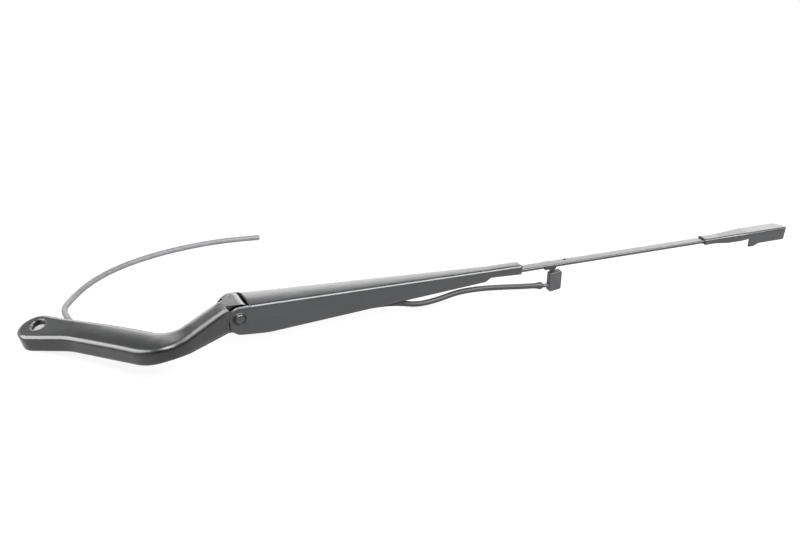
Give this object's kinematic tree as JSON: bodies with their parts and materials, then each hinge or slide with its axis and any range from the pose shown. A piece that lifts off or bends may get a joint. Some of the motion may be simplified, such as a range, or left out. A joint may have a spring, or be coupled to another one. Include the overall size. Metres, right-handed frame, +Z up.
{
  "type": "wiper arm",
  "caption": "Satin black windscreen wiper arm with cranked cast head, sprung hinged channel, flat rod, blade connector, washer nozzle and rubber hose.",
  "frame": {"origin": "on the spindle bore's axis, at the underside of the boss", "axes": "+X along the flat rod towards the blade connector, +Y across the arm along the hinge axis, +Z up from the arm's top face; the bore axis leans back 19 degrees in the XZ plane"},
  "size_m": [0.769, 0.2389, 0.0469],
  "materials": {
    "cast_black": "satin",
    "coat_black": "satin",
    "rivet_black": "satin",
    "bush_bronze": "satin",
    "washer_plastic": "matte",
    "pin_steel": "satin",
    "spring_steel": "satin",
    "clip_plastic": "matte",
    "nozzle_plastic": "matte",
    "hose_rubber": "matte"
  },
  "bodies": {
    "head": {"arm_head": "cast_black", "pivot_bush": "bush_bronze", "hinge_washers": "washer_plastic", "anchor_pin": "pin_steel", "hose_tail": "hose_rubber"},
    "arm": {"arm_channel": "coat_black", "hinge_rivet": "rivet_black", "arm_rod": "coat_black", "spring_hook": "pin_steel", "tension_spring": "spring_steel", "blade_connector": "coat_black", "nozzle_clip": "clip_plastic", "washer_nozzle": "nozzle_plastic", "hose_lead": "hose_rubber"}
  },
  "joints": [
    {"name": "arm_lift", "type": "hinge", "parent": "head", "child": "arm", "pos_m": [0.1375, -0.0551, 0.0294], "axis": [0, -1, 0], "range_deg": [0, 58], "deforming": ["tension_spring", "spring_hook"]}
  ]
}
